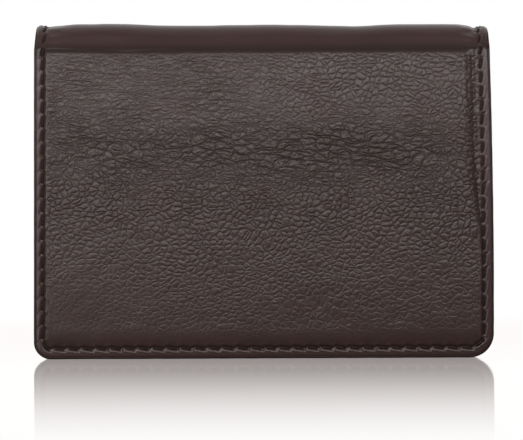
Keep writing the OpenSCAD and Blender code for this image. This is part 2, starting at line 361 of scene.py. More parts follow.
def crease_phase(x, s, spacing, seed):
    """Counts a family of wandering creases that run across the case, and says how strong each is."""
    wander = (0.5 * noise(x / 11 + 5, s / 6, seed) + 0.3 * noise(x / 3.6, s / 2.6, seed + 1)
              + 0.12 * noise(x / 1.2, s, seed + 2))
    phase = (s + 0.09 * x) / spacing + wander
    line = np.floor(phase)
    return phase, smooth(0.5 + 1.3 * noise(x / 3.4 + line * 3.7, line * 1.9, seed + 3))


def grain_place(x, s):
    """The sheet's coordinates, warped so that the pebbles differ in size and drift in rows."""
    drift = (0.9 * noise(x / 9, s / 11 + 7, 7) + 0.4 * noise(x / 2.6, s / 2.6, 8)
             + 0.24 * noise(x / 0.8, s / 0.8, 9))
    flow = (noise(x / 12 + 3, s / 8, 5) + 0.35 * noise(x / 3.1, s / 2.4, 6)
            + 0.26 * noise(x / 0.8, s / 0.7, 10))
    return x + drift, s + flow


def grain_strength(x, s):
    """How deep the valleys between the pebbles are, from 0 to about 1.3."""
    height = np.minimum(s, SHEET_LEN - s)
    low_left = ridge(x, -44, 18) * ridge(height, 12, 20)
    low_right = smooth((x - 5) / 30) * smooth((42 - height) / 14)
    top = smooth((height - 48) / 10)
    uneven = 0.96 + 0.12 * noise(x / 6, s / 4.5, 91) + 0.12 * noise(x / 2.4, s / 2, 93)
    return uneven * (0.33 + 0.53 * smooth((height - 3) / 40) + 0.27 * creased_share(x, height)
                     - 0.2 * low_left - 0.06 * low_right - 0.32 * top)


def grain(x, s):
    """Height of the pebbled grain and its creases, in millimetres, as wide soft valleys.

    The leather's material cuts the same valleys' narrow middles.
    """
    px, ps = grain_place(x, s)
    creased = creased_share(x, np.minimum(s, SHEET_LEN - s))
    pebbles, long_pebbles, small = (
        ridge(pebble_edge(px, ps, pattern), 0, width)
        for pattern, width in ((PEBBLES, 0.38), (LONG_PEBBLES, 0.38), (SMALL_PEBBLES, 0.22)))
    creases = 0
    for spacing, seed in CREASE_FAMILIES:
        phase, strength = crease_phase(x, s, spacing, seed)
        away = np.abs(phase - np.floor(phase) - 0.5) * spacing
        creases = np.maximum(creases, strength * ridge(away, 0, 0.34))
    depth = np.maximum(pebbles * (1 - 0.55 * creased), creases * 0.95 * creased)
    depth = np.maximum(depth, long_pebbles * 0.85 * creased) + small * (0.25 - 0.1 * creased)
    return (-0.6 * GRAIN_DEPTH * grain_strength(x, s) * depth
            + 0.018 * noise(x / 2.1, s / 1.7, 94) + 0.022 * noise(x / 5, s / 3.5, 95)
            + 0.035 * noise(x / 14, s / 9, 96))


def textured_share(x, s):
    """1 on the panels, and less where the leather is stretched over the fold and its edges."""
    folded = np.minimum(s, SHEET_LEN - s)
    outside = seam_frame(x, s)[0]
    share = ramp(-outside, 0.2, 1.5) * (1 - 0.9 * over_fold(s)) * ramp(CREASE_S - folded, 0.4, 1.2)
    return share * (0.2 + 0.8 * ramp(folded, 4.4, 3.6)) + 0.1


SLANT = math.radians(9)  # how far each stitch turns off the seam's line
EDGE_ROUND = 0.8  # width of the rounding at the leather's edge


def relief(x, s):
    """Height of the outer leather above the rim's surface."""
    folded = np.minimum(s, SHEET_LEN - s)
    outside, place = seam_frame(x, s)
    fold = over_fold(s)
    base = padded(x, s) - fold * fold_crown(x) * ramp(folded - CREASE_S, 1.1, 4.5)
    # each stitch lies in its own slanting dent, and the leather swells between the stitches
    slanted = outside + place * STITCH_PITCH * math.tan(SLANT) * np.where(x > 0, -1, 1)
    under = 1 - ramp(np.abs(place), 0.22, 0.26)
    dent = -(0.22 + 0.2 * under) * ridge(slanted, 0, 0.42)
    pulled = 0.03 + 0.2 * smooth((folded - 26) / 20) * (x > 0)
    pull = -pulled * (1 + 0.25 * under) * ridge(outside, -0.85, 0.65)
    lip = (0.04 + 0.035 * under) * ridge(slanted, 0.75, 0.35)
    knob = 0.075 * (1 - under) * ridge(outside, -0.7, 0.4)
    gathers = 0.1 * fold * np.cos(2 * math.pi * place) * ridge(outside, -2.4, 1.8)
    rim = rim_rise(x) * fold * ramp(outside, -0.9, 1.0)
    edge = np.minimum(HALF_W - np.abs(x), folded)
    radius = corner_radius(x)
    dx, ds = np.abs(x) - (HALF_W - radius), radius - folded
    edge = np.where((dx > 0) & (ds > 0), radius - np.hypot(dx, ds), edge)
    turned = np.clip(1 - (edge - PAINT) / EDGE_ROUND, 0, 1)
    bevel = -0.5 * (1 - np.sqrt(1 - 0.96 * turned ** 2.4))
    rim_wave = 0.03 * noise(x / 3, s / 3, 97)
    return (base + dent + pull + lip + knob + gathers + rim + bevel + rim_wave
            + textured_share(x, s) * grain(x, s))


# ---- Meshes ----

def add_uv(mesh, name, places):
    """Adds a UV map from one pair of millimetres to a vertex."""
    corners = np.zeros(len(mesh.loops), np.int32)
    mesh.loops.foreach_get("vertex_index", corners)
    pairs = (np.asarray(places)[corners] / UV_MM).astype(np.float32)
    mesh.uv_layers.new(name=name).data.foreach_set("uv", pairs.ravel())


def add_object(name, data):
    obj = bpy.data.objects.new(name, data)
    bpy.context.scene.collection.objects.link(obj)
    return obj


def new_object(name, points, faces, material, places):
    """An object from points in millimetres, faces, a material, and a place on the sheet to a point."""
    mesh = bpy.data.meshes.new(name)
    mesh.from_pydata((np.asarray(points) * MM).tolist(), [], faces)
    mesh.validate()
    mesh.polygons.foreach_set("use_smooth", [True] * len(mesh.polygons))
    add_uv(mesh, "sheet", places)
    mesh.materials.append(material)
    mesh.update()
    return add_object(name, mesh)


def attach(obj, body, node):
    """Makes a piece ride on a body, and stand for its CAD node."""
    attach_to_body(obj, body)
    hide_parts(node)


def add_grain_maps(mesh, x, s):
    """Gives a sheet mesh what the leather's material needs to cut the same grain as the relief."""
    phases, strengths = zip(*(crease_phase(x, s, *family) for family in CREASE_FAMILIES))
    add_uv(mesh, "grain", np.stack(grain_place(x, s), -1))
    add_uv(mesh, "creases", np.stack(phases, -1))
    creased = creased_share(x, np.minimum(s, SHEET_LEN - s))
    rgba = np.stack([creased, textured_share(x, s) * grain_strength(x, s) / 2, *strengths], -1)
    shares = mesh.attributes.new("grain_shares", "FLOAT_COLOR", "POINT")
    shares.data.foreach_set("color", rgba.astype(np.float32).ravel())


def unit_normals(across, along):
    normals = np.cross(across, along)
    return normals / np.maximum(np.linalg.norm(normals, axis=-1, keepdims=True), 1e-12)


def grid_normals(points):
    """Unit normals of a grid of points, from its neighbours."""
    return unit_normals(np.gradient(points, axis=1), np.gradient(points, axis=0))


def grid_faces(index):
    """The four-sided faces of a grid of point numbers."""
    return np.stack([index[:-1, :-1], index[:-1, 1:], index[1:, 1:], index[1:, :-1]], -1).reshape(-1, 4).tolist()


def slab_faces(rows, columns, skip):
    """Faces of a closed slab: a fine top grid, a bottom grid with every skip-th line, and walls."""
    top = np.arange(rows * columns).reshape(rows, columns)
    low_rows, low_columns = (rows - 1) // skip + 1, (columns - 1) // skip + 1
    low = rows * columns + np.arange(low_rows * low_columns).reshape(low_rows, low_columns)
    faces = grid_faces(top) + grid_faces(low.T)
    for fine, coarse in ((top[0], low[0]), (top[:, -1], low[:, -1]),
                         (top[-1, ::-1], low[-1, ::-1]), (top[::-1, 0], low[::-1, 0])):
        for i in range(len(coarse) - 1):
            run = fine[i * skip:(i + 1) * skip + 1].tolist()
            faces.append(run[::-1] + [int(coarse[i]), int(coarse[i + 1])])
    return faces


def slab(name, place, x, s, top, bottom, skip, material, normals=None):
    """A closed slab between two heights over a grid of (x, s). Its bottom grid is coarser."""
    low_x, low_s = x[::skip, ::skip], s[::skip, ::skip]
    upper, lower = place(x, s, top(x, s)), place(low_x, low_s, bottom(low_x, low_s))
    places = np.stack([np.append(x, low_x), np.append(s, low_s)], -1)
    points = np.concatenate([upper.reshape(-1, 3), lower.reshape(-1, 3)])
    obj = new_object(name, points, slab_faces(*x.shape, skip), material, places)
    normals = grid_normals(upper) if normals is None else normals
    both = np.concatenate([normals.reshape(-1, 3), -grid_normals(lower).reshape(-1, 3)])
    obj.data.normals_split_custom_set_from_vertices(both.tolist())
    if top is relief:
        add_grain_maps(obj.data, *places.T)
    return obj


def level(height):
    """A flat face's height over a grid."""
    return lambda x, s: 0 * x + height


def spaced(stops, steps, multiple=1):
    """Numbers through stops, about steps[i] apart in stretch i, in a multiple of intervals."""
    out = [stops[0]]
    for a, b, step in zip(stops[:-1], stops[1:], steps):
        count = max(multiple, math.ceil((b - a) / step / multiple) * multiple)
        out += np.linspace(a, b, count + 1)[1:].tolist()
    return np.array(out)


def rounded_corners(x, s, half_w, base, least):
    """Moves points so that the corners at (-half_w, base) and (half_w, base) are round."""
    r = np.maximum(corner_radius(x) - base, least)
    u, v = (np.abs(x) - (half_w - r)) / r, (base + r - s) / r
    corner = (u > 0) & (v > 0)
    cu, cv = np.clip(u, 0, 1), np.clip(v, 0, 1)
    new_x = np.sign(x) * (half_w - r + cu * np.sqrt(1 - cv * cv / 2) * r)
    new_s = base + r - cv * np.sqrt(1 - cu * cu / 2) * r
    return np.where(corner, new_x, x), np.where(corner, new_s, s)


def sheet_grid(xs, ss, inset):
    """A grid of sheet points whose free corners are round."""
    x, s = np.meshgrid(xs, ss)
    back = s > SHEET_LEN / 2
    x, folded = rounded_corners(x, np.minimum(s, SHEET_LEN - s), HALF_W - inset, inset, 0.4)
    return x, np.where(back, SHEET_LEN - folded, folded)


REGION_NAMES = ("front", "fold_front", "fold_rear", "back")


def place_region(obj, region, kind):
    """Bakes a region's piece of a layer in place, and makes it stand for its CAD nodes."""
    middle = (CREASE_S, SHOULDER_S, SHEET_LEN - SHOULDER_S, SHEET_LEN - CREASE_S)[region]
    reach = CREASE_REACH if region in (0, 3) else SHOULDER_REACH
    start, end = (wrap(0, middle + side * reach, 0) * MM for side in (-1, 1))
    start[0] = end[0] = 0
    nodes = ([f"front_{kind}"], [f"spine_{kind}_front", f"spine_{kind}_top"],
             [f"spine_{kind}_rear"], [f"back_{kind}"])[region]
    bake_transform(obj)
    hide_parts(*nodes)


def sheet_layer(name, material, kind, top, bottom, inset, steps, skip):
    """One layer of the sheet in four pieces that meet at the splits; steps are its spacings."""
    fine, coarse = steps
    xs = spaced([-HALF_W + inset, -HALF_W + 6, HALF_W - 6, HALF_W - inset], [fine, coarse, fine], skip)
    near_crease = CREASE_S - 3.2
    made = []
    for region, (a, b) in enumerate(zip(SPLITS, SPLITS[1:])):
        stops, gaps = [a, b], [fine]
        if region == 0:
            stops, gaps = [inset, 8.5, near_crease, b], [fine, coarse, fine]
        elif region == 3:
            stops, gaps = [a, SHEET_LEN - near_crease, SHEET_LEN - 8.5, SHEET_LEN - inset], [fine, coarse, fine]
        x, s = sheet_grid(xs, spaced(stops, gaps, skip), inset)
        # normals come from the height a little way off, so they agree where two pieces meet
        e = 0.06
        across = wrap(x + e, s, top(x + e, s)) - wrap(x - e, s, top(x - e, s))
        along = wrap(x, s + e, top(x, s + e)) - wrap(x, s - e, top(x, s - e))
        piece = slab(f"{name}_{REGION_NAMES[region]}", wrap, x, s, top, bottom, skip, material,
                     unit_normals(across, along))
        place_region(piece, region, kind)
        made.append(piece)
    return made


# ---- Materials ----

class Nodes:
    """A node tree, and short ways to add to it. An input is a value or another node's socket."""

    def __init__(self, tree):
        self.tree = tree

    def put(self, socket, value):
        if isinstance(value, bpy.types.NodeSocket):
            self.tree.links.new(value, socket)
        else:
            socket.default_value = value

    def add(self, kind, inputs=None, **settings):
        """The new node's outputs."""
        made = self.tree.nodes.new(f"ShaderNode{kind}")
        for key, value in settings.items():
            setattr(made, key, value)
        for key, value in (inputs or {}).items():
            self.put(made.inputs[key], value)
        return made.outputs

    def math(self, operation, a, b=0.0, clamp=False):
        return self.add("Math", {0: a, 1: b}, operation=operation, use_clamp=clamp)[0]

    def times(self, first, *factors):
        for factor in factors:
            first = self.math("MULTIPLY", first, factor)
        return first

    def fit(self, value, low, high, to_low=0.0, to_high=1.0, **settings):
        return self.add("MapRange", {0: value, 1: low, 2: high, 3: to_low, 4: to_high}, **settings)[0]

    def mix(self, share, a, b, blend="MIX"):
        return self.add("MixRGB", {"Fac": share, "Color1": a, "Color2": b}, blend_type=blend)[0]


class Surface(Nodes):
    """A material with a Principled shader. Its patterns lie on the sheet, in millimetres."""

    def __init__(self, name, **values):
        self.material = bpy.data.materials.new(name)
        self.material.use_nodes = True
        super().__init__(self.material.node_tree)
        self.shader = self.tree.nodes["Principled BSDF"]
        for key, value in values.items():
            self.set(key.replace("_", " "), value)

    def set(self, key, value):
        self.put(self.shader.inputs[key], value)

    def map(self, name="sheet", across=1.0, along=1.0, shift=0.0):
        """A UV map's coordinates in units of across by along millimetres."""
        scale = (UV_MM / across, UV_MM / along, 1)
        return self.add("Mapping", {"Vector": self.add("UVMap", uv_map=name)[0],
                                    "Location": (shift, 0, 0), "Scale": scale})[0]

    def noise(self, across, along, detail=2.0, roughness=0.5, distortion=0.0):
        return self.add("TexNoise", {"Vector": self.map("sheet", across, along), "Scale": 1.0, "Detail": detail,
                                     "Roughness": roughness, "Distortion": distortion})[0]

    def cells(self, across, along, warp):
        """Distance to the edge of warped cells."""
        where = self.map("sheet", across, along)
        shift = self.add("TexNoise", {"Vector": where, "Scale": 0.45, "Detail": 1.0})[1]
        return self.add("TexVoronoi", {"Vector": self.mix(warp, where, shift, "ADD"), "Scale": 1.0},
                        feature="DISTANCE_TO_EDGE")[0]

    def bump(self, height, depth_mm, after=None):
        inputs = {"Height": height, "Distance": depth_mm * MM, "Strength": 1.0}
        if after is not None:
            inputs["Normal"] = after
        return self.add("Bump", inputs)[0]


def shade(colour, factor):
    return (*(part * factor for part in colour), 1.0)


LEATHER_COLOUR = (0.056, 0.032, 0.028)
WORN_COLOUR = (0.0728, 0.0368, 0.0336, 1)
# colour of the valleys: partly darker dye, partly painted shade
VALLEY_DYE_AND_SHADE_COLOUR = (0.015, 0.0045, 0.0032, 1)
INNER_COLOUR = (0.052, 0.033, 0.029)


def grain_valleys(m):
    """The narrow middles of the relief's valleys and creases, as a value from 0 to about 1.5."""
    shares = m.add("Attribute", attribute_name="grain_shares")
    split = m.add("SeparateColor", {0: shares["Color"]})
    creased, strength = split[0], m.times(split[1], 2.0)
    cuts = []
    for (across, along, shift), width in ((PEBBLES, 0.36), (LONG_PEBBLES, 0.36), (SMALL_PEBBLES, 0.2)):
        edge = m.add("TexVoronoi", {"Vector": m.map("grain", across, along, shift), "Scale": 1.0},
                     voronoi_dimensions="2D", feature="DISTANCE_TO_EDGE")["Distance"]
        cuts.append(m.math("POWER", m.fit(edge, 0.0, width / along, 1.0, 0.0), 2.0))
    pebbles, long_pebbles, small = cuts
    phases = m.add("SeparateXYZ", {0: m.add("UVMap", uv_map="creases")[0]})
    lines = []
    for phase, (spacing, _), fade in zip(phases, CREASE_FAMILIES, (split[2], shares["Alpha"])):
        away = m.math("ABSOLUTE", m.math("SUBTRACT", m.math("FRACT", m.times(phase, UV_MM)), 0.5))
        lines.append(m.times(m.math("POWER", m.fit(away, 0.0, 0.32 / spacing, 1.0, 0.0), 2.0), fade))
    creases = m.math("MAXIMUM", *lines)
    total = m.times(pebbles, m.math("SUBTRACT", 1.0, m.times(creased, 0.55)))
    total = m.math("MAXIMUM", total, m.times(long_pebbles, creased, 0.85))
    total = m.math("MAXIMUM", total, m.times(creases, creased, 1.05))
    return m.times(m.math("ADD", total, m.times(small, 0.3)), strength)


def outer_leather_material():
    """Dark brown pebbled leather: narrow valleys darkened partly by darker dye and partly by painted shade, a
    painted shadow line along the creases where the fold begins, glossier tops, and slow changes of tone.
    """
    m = Surface("outer_leather", Specular_IOR_Level=0.5)
    valleys = grain_valleys(m)
    pores = m.noise(0.16, 0.16, roughness=0.6)
    cloud = m.noise(16, 10, detail=3.0)
    patch = m.noise(3.5, 2.4)
    base = m.mix(m.fit(cloud, 0.3, 0.7), shade(LEATHER_COLOUR, 0.92), shade(LEATHER_COLOUR, 1.1))
    base = m.mix(m.fit(patch, 0.35, 0.75, 0.0, 0.3), base, WORN_COLOUR)
    # painted shade: the valleys' colour is darker, partly for darker dye in them and partly to stand in for the
    # shade that falls in the narrow valleys
    base = m.mix(m.fit(valleys, 0.1, 0.85, 0.0, 0.84), base, VALLEY_DYE_AND_SHADE_COLOUR)
    # painted shadow: the colour is darker along the creases where the fold begins, to stand in for the shade that
    # falls in them
    along_sheet = m.add("SeparateXYZ", {0: m.map()})[1]
    from_top = m.math("ABSOLUTE", m.math("SUBTRACT", along_sheet, SHEET_LEN / 2))
    from_crease = m.math("ABSOLUTE", m.math("SUBTRACT", from_top, SHEET_LEN / 2 - CREASE_S - 0.2))
    crease = m.math("POWER", m.fit(from_crease, 0.0, 2.6, 1.0, 0.0), 1.5)
    # the painted shadow along the crease mixes towards a much darker brown
    base = m.mix(m.times(crease, 0.68), base, shade(LEATHER_COLOUR, 0.22))
    m.set("Base Color", base)
    m.set("Roughness", m.math("ADD", m.fit(valleys, 0.15, 0.9, 0.38, 0.62), m.fit(pores, 0.3, 0.7, -0.03, 0.03)))
    cut = m.bump(m.times(valleys, -1.0), 0.6 * GRAIN_DEPTH)
    m.set("Normal", m.bump(pores, 0.004, after=cut))
    return m.material


def inner_leather_material():
    """Finer grain leather for the inside: small cells, pores and changes of tone."""
    m = Surface("inner_leather", Specular_IOR_Level=0.5)
    cell = m.cells(1.1, 0.85, 0.5)
    fine = m.cells(0.5, 0.42, 0.6)
    pores = m.noise(0.16, 0.16, roughness=0.6)
    cloud = m.noise(16, 10, detail=3.0)
    worn = m.times(m.fit(cell, 0.02, 0.22), 0.5)
    tone = m.math("ADD", worn, m.fit(cloud, 0.3, 0.7, 0.15, 0.5), clamp=True)
    m.set("Base Color", m.mix(tone, shade(INNER_COLOUR, 0.62), shade(INNER_COLOUR, 1.25)))
    m.set("Roughness", m.math("ADD", m.fit(cell, 0.0, 0.25, 0.66, 0.49), m.fit(pores, 0.3, 0.7, -0.05, 0.05)))
    first = m.bump(m.fit(cell, 0.0, 0.28), 0.02025)
    second = m.bump(m.fit(fine, 0.0, 0.3), 0.0063, after=first)
    m.set("Normal", m.bump(pores, 0.012, after=second))
    return m.material


def fibrous_material(name, roughness, specular, pattern, dark, light, depth_mm, spread=(0.0, 1.0)):
    """A surface whose colour and bump both follow one noise of fibres."""
    m = Surface(name, Roughness=roughness, Specular_IOR_Level=specular)
    fibres = m.noise(*pattern)
    m.set("Base Color", m.mix(m.fit(fibres, *spread), (*dark, 1), (*light, 1)))
    m.set("Normal", m.bump(fibres, depth_mm))
    return m.material


def paint_material():
    m = Surface("edge_paint", Specular_IOR_Level=0.3)
    flow = m.noise(2.5, 0.8, detail=3.0)
    m.set("Base Color", m.mix(m.fit(flow, 0.3, 0.7), (0.018, 0.005, 0.005, 1), (0.032, 0.009, 0.009, 1)))
    m.set("Roughness", m.fit(flow, 0.3, 0.7, 0.34, 0.5))
    m.set("Normal", m.bump(m.noise(0.9, 0.5), 0.02))
    return m.material


def twill_material():
    """A brown twill: two sets of yarns that pass over each other on a slant."""
    m = Surface("twill_lining", Roughness=0.8, Specular_IOR_Level=0.25, Sheen_Weight=0.15)
    turned = m.add("Mapping", {"Vector": m.map("sheet", 0.42, 0.42), "Rotation": (0, 0, 0.9)})[0]
    ribs = m.add("TexWave", {"Vector": turned, "Scale": 0.31, "Distortion": 0.6,
                             "Detail": 1.0, "Detail Scale": 2.0})[1]
    fuzz = m.noise(0.2, 0.2)
    tone = m.math("ADD", m.times(ribs, 0.6), m.times(fuzz, 0.4), clamp=True)
    m.set("Base Color", m.mix(tone, (0.045, 0.030, 0.024, 1), (0.105, 0.074, 0.058, 1)))
    m.set("Normal", m.bump(fuzz, 0.02, after=m.bump(ribs, 0.05)))
    return m.material


def cloth_material():
    """The slot backings' weave, which lies on the CAD node's own coordinates."""
    m = Surface("backing_cloth", Roughness=0.85, Specular_IOR_Level=0.2)
    weave = m.add("TexNoise", {"Vector": m.add("TexCoord")["Object"], "Scale": 2500.0, "Detail": 2.0})[0]
    m.set("Base Color", m.mix(weave, (0.05, 0.034, 0.028, 1), (0.10, 0.070, 0.056, 1)))
    m.set("Normal", m.bump(weave, 0.03))
    return m.material


OUTER_LEATHER = outer_leather_material()
INNER_LEATHER = inner_leather_material()
THREAD = fibrous_material("waxed_thread", 0.62, 0.28, (0.5, 0.12), (0.010, 0.006, 0.006),
                          (0.034, 0.021, 0.020), 0.03, (0.3, 0.7))
EDGE_PAINT = paint_material()
TWILL = twill_material()
BOARD_FIBRE = fibrous_material("fibre_board", 0.85, 0.2, (3.0, 0.35, 4.0), (0.30, 0.23, 0.16),
                               (0.50, 0.41, 0.30), 0.03)
FELT = fibrous_material("felt_padding", 0.95, 0.1, (0.5, 0.5, 4.0, 0.5, 1.5), (0.62, 0.60, 0.55),
                        (0.80, 0.78, 0.73), 0.08)
CLOTH = cloth_material()


# ---- The layers of the cover ----

def inner_face(s):
    """Height of the lining's inner face: the fold has no board."""
    return -LEATHER - LINING - BOARD * (1 - over_fold(s))


def padding_height(x, s):
    return np.maximum(padded(x, s), 0.04)


def under_leather(x, s):
    return padding_height(x, s) - LEATHER


def build_cover_layers():
    sheet_layer("outer_leather", OUTER_LEATHER, "leather", relief, under_leather,
                PAINT, (0.23, 0.3), 6)
    pads = sheet_layer("padding", FELT, "padding", lambda x, s: under_leather(x, s) - 0.02,
                       level(-LEATHER + 0.01), 3.2, (1.0, 2.0), 2)
    sheet_layer("lining", TWILL, "lining", lambda x, s: inner_face(s) + LINING,
                lambda x, s: inner_face(s), PAINT, (0.5, 2.0), 1)


def build_boards():
    xs = spaced([-HALF_W + PAINT, HALF_W - PAINT], [2.0])
    ss = spaced([PAINT, CREASE_S - 1.3], [2.0])
    for body, name in (("cover", "front_board"), ("root", "back_board")):
        x, s = sheet_grid(xs, ss, PAINT)
        if body == "root":
            x, s = x[::-1], SHEET_LEN - s[::-1]
        board = slab(f"{name}_fibre", wrap, x, s, level(-LEATHER), level(-LEATHER - BOARD), 1, BOARD_FIBRE)
        attach(board, body, name)


# ---- Sweeps: the painted edges ----

def rows(*columns):
    """Points from their coordinates, each an array or one number for all."""
    return np.stack(np.broadcast_arrays(*columns), -1)


def run_length(path):
    """Distance along a row of points, as a column."""
    return np.cumsum(np.concatenate([[0], np.hypot(*np.diff(path[:, :2], axis=0).T)]))[:, None]


def sweep(name, sections, material, closed_ends=True):
    """Tubes, each from (its rings of points by station, their places on the sheet)."""
    points, places, faces, start = [], [], [], 0
    for rings, ring_places in sections:
        stations, ring = rings.shape[:2]
        index = start + np.arange(stations * ring).reshape(stations, ring)
        faces += grid_faces(np.concatenate([index, index[:, :1]], axis=1))
        if closed_ends:
            faces += [index[0, ::-1].tolist(), index[-1].tolist()]
        points.append(rings.reshape(-1, 3))
        places.append(ring_places.reshape(-1, 2))
        start += stations * ring
    return new_object(name, np.concatenate(points), faces, material, np.concatenate(places))


def rim_path(region):
    """Stretches of the sheet's outline in a region, each as rows of (x, s, outward x, outward s)."""
    a, b = SPLITS[region], SPLITS[region + 1]
    if region in (1, 2):
        return [rows(side * HALF_W, np.linspace(a, b, 25), side, 0) for side in (1, -1)]
    end = b if region == 0 else SHEET_LEN - a
    turn = np.linspace(0, math.pi / 2, 16)
    side_start, side_end = CREASE_S - 3, CREASE_S - 2.8
    halves = []
    for side, radius in ((1, CORNER_RIGHT), (-1, CORNER_LEFT)):
        up = np.concatenate([np.linspace(radius, side_start, 60), np.linspace(side_end, end, 22)])
        half = np.concatenate([
            rows(np.linspace(0, HALF_W - radius, 60), 0, 0, -1)[:-1],
            rows(HALF_W - radius + radius * np.sin(turn), radius - radius * np.cos(turn),
                 np.sin(turn), -np.cos(turn))[:-1],
            rows(HALF_W, up, 1, 0)])
        halves.append(half * np.array([side, 1, side, 1]))
    path = np.concatenate([halves[1][:0:-1], halves[0]])
    if region == 3:
        path = (path * np.array([1, -1, 1, -1]) + np.array([0, SHEET_LEN, 0, 0]))[::-1]
    return [path]


def paint_section(path):
    """A bead of paint over the cut edge, from the leather's rounded lip to the lining."""
    angles = np.linspace(0, 2 * math.pi, 24, endpoint=False)
    x, s, out_x, out_s = path.T[:, :, None]
    low = inner_face(s) - 0.03
    high = rim_rise(x) * over_fold(s) - 0.17
    across, rise = np.cos(angles), np.sin(angles)
    bulge = np.sign(across) * np.abs(across) ** 0.7
    rise = np.sign(rise) * np.abs(rise) ** 0.8
    wave = 0.025 * noise(x / 2.2 + 9, s / 2.2, 15)
    reach = 0.34
    out = np.where(bulge > 0, bulge * reach + wave * bulge, bulge * 0.3) - reach
    n = (low + high) / 2 + (high - low) / 2 * rise
    return wrap(x + out * out_x, s + out * out_s, n), rows(run_length(path), angles * 0.5)


def build_edge_paint():
    for region in range(4):
        sections = [paint_section(path) for path in rim_path(region)]
        paint = sweep(f"edge_paint_{REGION_NAMES[region]}", sections, EDGE_PAINT)
        place_region(paint, region, "edge_paint")


# ---- Thread ----

THREAD_R = 0.24


def stitch_points(centre, heading, length, radius, place, dip=0.34, stations=11, ring=10):
    """A stitch of three-ply thread: it rises out of one hole and dives into the next."""
    t = np.linspace(-1, 1, stations)[:, None]
    angles = np.linspace(0, 2 * math.pi, ring, endpoint=False)[None, :]
    lobes = 1 + 0.13 * np.cos(3 * angles + 4.5 * t)
    taper = radius * lobes * (1 - 0.35 * np.abs(t) ** 5)
    along, side = t * length / 2, taper * np.cos(angles)
    up = taper * np.sin(angles) - dip * np.abs(t) ** 3.5
    x = centre[0] + along * math.cos(heading) - side * math.sin(heading)
    s = centre[1] + along * math.sin(heading) + side * math.cos(heading)
    return place(x, s, up), rows(along, angles * radius) + np.array(centre)


def build_rim_stitching():
    """The seam round the rim, in the four regions of the sheet."""
    stitches = [[], [], [], []]
    for seam in SEAMS.values():
        for i in range(seam.count):
            x, s, heading = seam.at((i + 0.5) * seam.step)
            region = next(r for r in range(4) if s <= SPLITS[r + 1] + 1e-6)
            seat = float(relief(np.array([x]), np.array([s]))[0]) + THREAD_R * 0.8
            stitches[region].append(stitch_points((x, s), heading - SLANT, seam.step * 0.86, THREAD_R,
                                                  lambda x, s, n, seat=seat: wrap(x, s, n + seat)))
    for region in range(4):
        thread = sweep(f"stitching_{REGION_NAMES[region]}", stitches[region], THREAD)
        place_region(thread, region, "stitching")


# ---- Flat panels inside the case ----

class Plane:
    """Places a flat panel's points: its y at rest, and which way its good side faces."""

    def __init__(self, y, facing):
        self.y, self.facing = y, facing

    def __call__(self, x, z, n):
        return rows(x, self.y + self.facing * n, z)


def panel(name, body, node, plane, half_w, base, mouth_of, thickness, face, material, step=0.5):
    """A flat sewn panel. mouth_of(x) is the height of its mouth, and face(x, z) its good side's relief."""
    xs = spaced([-half_w, -half_w + 4, half_w - 4, half_w], [step * 0.7, step, step * 0.7], 3)
    x, share = np.meshgrid(xs, spaced([0, 0.9, 1], [step / 40, step / 130], 3))
    x, z = rounded_corners(x, base + share * (mouth_of(x) - base), half_w, base, 0.6)
    if plane.facing > 0:
        x, z = x[:, ::-1], z[:, ::-1]
    made = slab(name, plane, x, z, face, level(-thickness), 3, material)
    attach(made, body, node)


def slot_relief(mouth, half_w):
    """A slot panel's face: a turned edge with a creased line, a stitch row, and pressed sides."""
    inset_seam = SEAM_SIDE[1] - (HALF_W - half_w)

    def face(x, z):
        drop, side = mouth - z, half_w - np.abs(x)
        bevel = -0.16 * (1 - ramp(drop, 0, 0.5))
        line = -0.07 * ridge(drop, 1.1, 0.22)
        row = -0.09 * ridge(drop, 2.2, 0.3) * (np.abs(x) < half_w - 7.5)
        seam = -0.12 * ridge(side, inset_seam, 0.4)
        worn = -0.12 * (1 - ramp(np.minimum(side, z), 0, 0.6))
        return bevel + line + row + seam + worn + 0.35 * grain(x + 31, z + 200) - 0.02
    return face


def straight_row(points, plane, height=-0.02, radius=0.16):
    """Stitches along a polyline of (x, z) points on a plane."""
    points = np.asarray(points, float)
    marks = run_length(points)[:, 0]
    count = max(1, round(marks[-1] / STITCH_PITCH))
    step = marks[-1] / count
    out = []
    for i in range(count):
        here, before, after = (tuple(np.interp((i + 0.5 + d) * step, marks, points[:, k]) for k in (0, 1))
                               for d in (0, -0.2, 0.2))
        heading = math.atan2(after[1] - before[1], after[0] - before[0])
        out.append(stitch_points(here, heading - SLANT, step * 0.86, radius,
                                 lambda x, z, n: plane(x, z, n + height), dip=0.22, stations=9, ring=8))
    return out


def sew(name, stitches, body, node):
    """Stitches as one piece of thread that rides on a body."""
    attach(sweep(name, stitches, THREAD), body, node)


def build_slots():
    """The stepped card slots inside the front."""
    stitches = []
    for node in ("slip_pocket_panel", "upper_slot_panel", "lower_slot_panel"):
        low, high = box_mm(node)
        half_w, good_side, mouth = high
        plane = Plane(good_side, 1)
        panel(f"{node}_leather", "cover", node, plane, half_w, low[2], lambda x, mouth=mouth: 0 * x + mouth,
              good_side - low[1], slot_relief(mouth, half_w), INNER_LEATHER)
        reach = half_w - 8
        stitches += straight_row([(-reach, mouth - 2.2), (reach, mouth - 2.2)], plane)
    sew("slot_mouth_stitching", stitches, "cover", "slot_stitching")


# ---- The card pocket ----

POCKET_LOW, POCKET_HIGH = box_mm("pocket_edge_paint")
NOTCH_HALF, NOTCH_DEPTH, NOTCH_RADIUS = 10.6, 8.0, 11.0


def pocket_mouth(x, inset=0.0):
    """Height of the pocket's mouth, with its thumb notch."""
    radius = NOTCH_RADIUS + inset
    centre = POCKET_HIGH[2] - NOTCH_DEPTH + NOTCH_RADIUS
    arc = centre - np.sqrt(np.maximum(radius ** 2 - x ** 2, 0))
    top = POCKET_HIGH[2] - inset
    lip = 1.1
    blend = np.clip(0.5 + (top - arc) / (2 * lip), 0, 1)
    eased = arc * blend + top * (1 - blend) - lip * blend * (1 - blend)
    return np.where(np.abs(x) < radius, np.minimum(eased, top), top)


